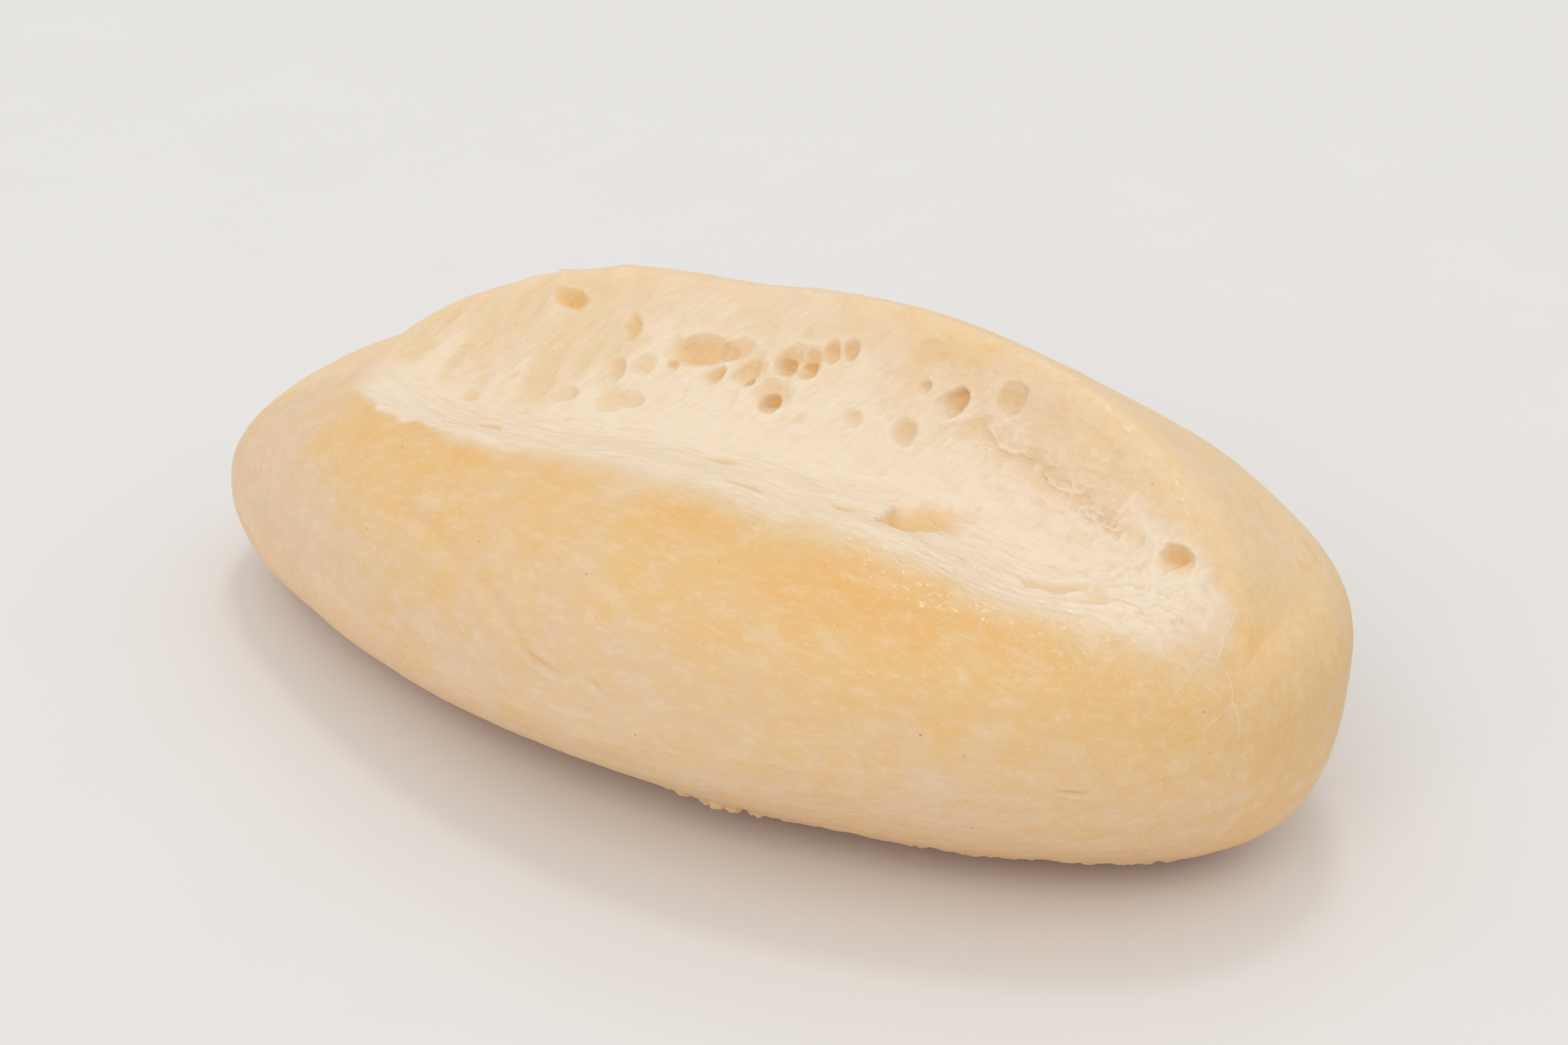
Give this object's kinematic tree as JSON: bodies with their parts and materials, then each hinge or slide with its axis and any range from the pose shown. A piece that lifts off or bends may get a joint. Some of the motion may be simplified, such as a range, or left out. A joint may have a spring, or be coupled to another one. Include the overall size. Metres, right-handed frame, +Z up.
{
  "type": "bread roll",
  "caption": "Oval baked bread roll with a flat resting spot and a long opened cut along its top, with a raised crust lip and pale crumb inside.",
  "frame": {"origin": "on the tray side, at the bottom of the roll's box and under its middle", "axes": "+X along the roll to its fuller end, +Y towards the raised lip of the cut, +Z up"},
  "size_m": [0.15, 0.0794, 0.0512],
  "materials": {
    "crust": "satin pale golden bread crust, with creamy white open crumb in the cut"
  },
  "bodies": {
    "root": {"bread_roll": "crust"}
  },
  "joints": []
}
